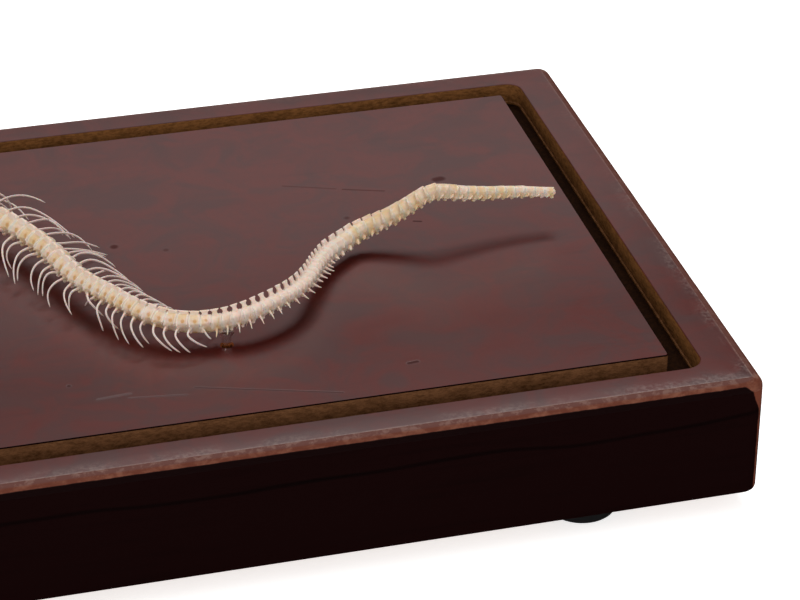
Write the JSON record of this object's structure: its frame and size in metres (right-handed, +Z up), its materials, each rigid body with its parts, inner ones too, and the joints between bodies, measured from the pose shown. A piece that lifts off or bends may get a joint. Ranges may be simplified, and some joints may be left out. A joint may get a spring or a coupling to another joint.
{
  "type": "snake skeleton on display board",
  "caption": "Articulated skeleton of a small snake in a winding pose, held by clear pegs over a rectangular wooden display board with a routed groove and rubber feet.",
  "frame": {"origin": "middle of the board in plan, at the level of the undersides of the feet", "axes": "+X along the board's long side towards the tail's tip, +Y away from the side that the picture shows, +Z up"},
  "size_m": [0.362, 0.1438, 0.0468],
  "materials": {
    "board": "dark red-brown lacquered veneer over brown fibreboard, satin",
    "foot": "matt black rubber",
    "peg": "clear acrylic",
    "bone": "bleached ivory bone, satin"
  },
  "bodies": {
    "root": {"board": "board", "foot_head_front": "foot", "foot_head_back": "foot", "foot_tail_front": "foot", "foot_tail_back": "foot", "peg_head": "peg", "peg_front": "peg", "peg_middle": "peg", "peg_rear": "peg", "peg_tail": "peg", "skull": "bone", "mandible_left": "bone", "mandible_right": "bone", "neck": "bone", "trunk_1_left": "bone", "trunk_1_right": "bone", "trunk_2_left": "bone", "trunk_2_right": "bone", "trunk_3_left": "bone", "trunk_3_right": "bone", "trunk_4_left": "bone", "trunk_4_right": "bone", "trunk_5_left": "bone", "trunk_5_right": "bone", "trunk_6_left": "bone", "trunk_6_right": "bone", "tail_1": "bone", "tail_2": "bone", "tail_3": "bone"}
  },
  "joints": []
}
